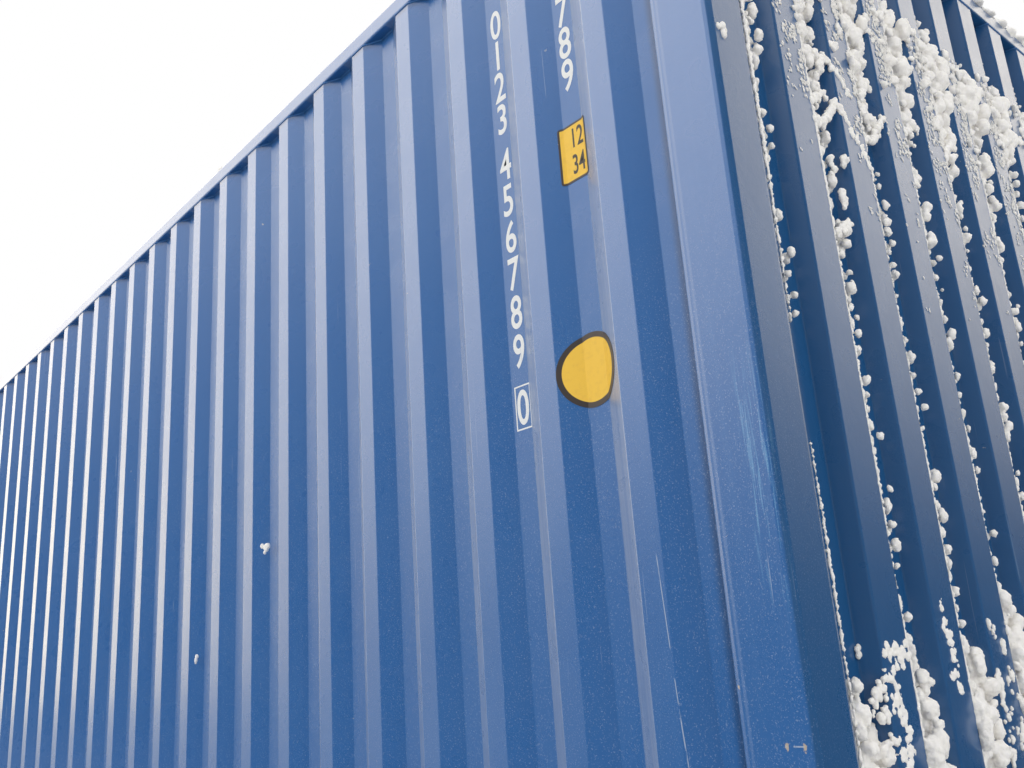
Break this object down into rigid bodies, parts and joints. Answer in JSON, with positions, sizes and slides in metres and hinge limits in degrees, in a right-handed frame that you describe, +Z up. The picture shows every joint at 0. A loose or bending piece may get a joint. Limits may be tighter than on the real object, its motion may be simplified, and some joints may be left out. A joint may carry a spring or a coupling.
{
  "type": "shipping container",
  "caption": "High-cube steel shipping container with corrugated walls, hollow corner fittings, a gooseneck tunnel and closed double doors with locking bars.",
  "frame": {"origin": "on the ground under the middle of the container", "axes": "+X along the container towards the closed front end, +Y across it towards the left side as seen from the doors, +Z up"},
  "size_m": [12.192, 2.438, 2.896],
  "materials": {
    "paint": "glossy marine blue paint over steel, weathered",
    "cast_steel": "painted cast steel, worn at its edges",
    "zinc": "hot-dip galvanized",
    "plywood": "sealed plywood",
    "rubber": "matte"
  },
  "bodies": {
    "root": {"front_bottom_right_fitting": "cast_steel", "front_bottom_left_fitting": "cast_steel", "rear_bottom_right_fitting": "cast_steel", "rear_bottom_left_fitting": "cast_steel", "front_top_right_fitting": "cast_steel", "front_top_left_fitting": "cast_steel", "rear_top_right_fitting": "cast_steel", "rear_top_left_fitting": "cast_steel", "front_right_post": "paint", "front_left_post": "paint", "rear_right_post": "paint", "rear_left_post": "paint", "front_header": "paint", "front_sill": "paint", "door_header": "paint", "door_sill": "paint", "rain_gutter": "paint", "right_top_rail": "paint", "left_top_rail": "paint", "right_bottom_rail": "paint", "left_bottom_rail": "paint", "right_wall": "paint", "left_wall": "paint", "front_wall": "paint", "roof": "paint", "roof_end_plates": "paint", "roof_doublers": "paint", "cross_members": "paint", "outriggers": "paint", "tunnel_plate": "paint", "tunnel_bows": "paint", "tunnel_bolster": "paint", "floor_boards": "plywood", "floor_rail": "paint", "right_door": "paint", "left_door": "paint", "door_gaskets": "rubber", "locking_bars": "zinc", "cam_keepers": "zinc", "bar_brackets": "zinc", "door_handles": "zinc", "handle_catches": "zinc", "hinge_lugs": "paint", "hinge_blades": "paint", "vents": "paint"}
  },
  "joints": []
}
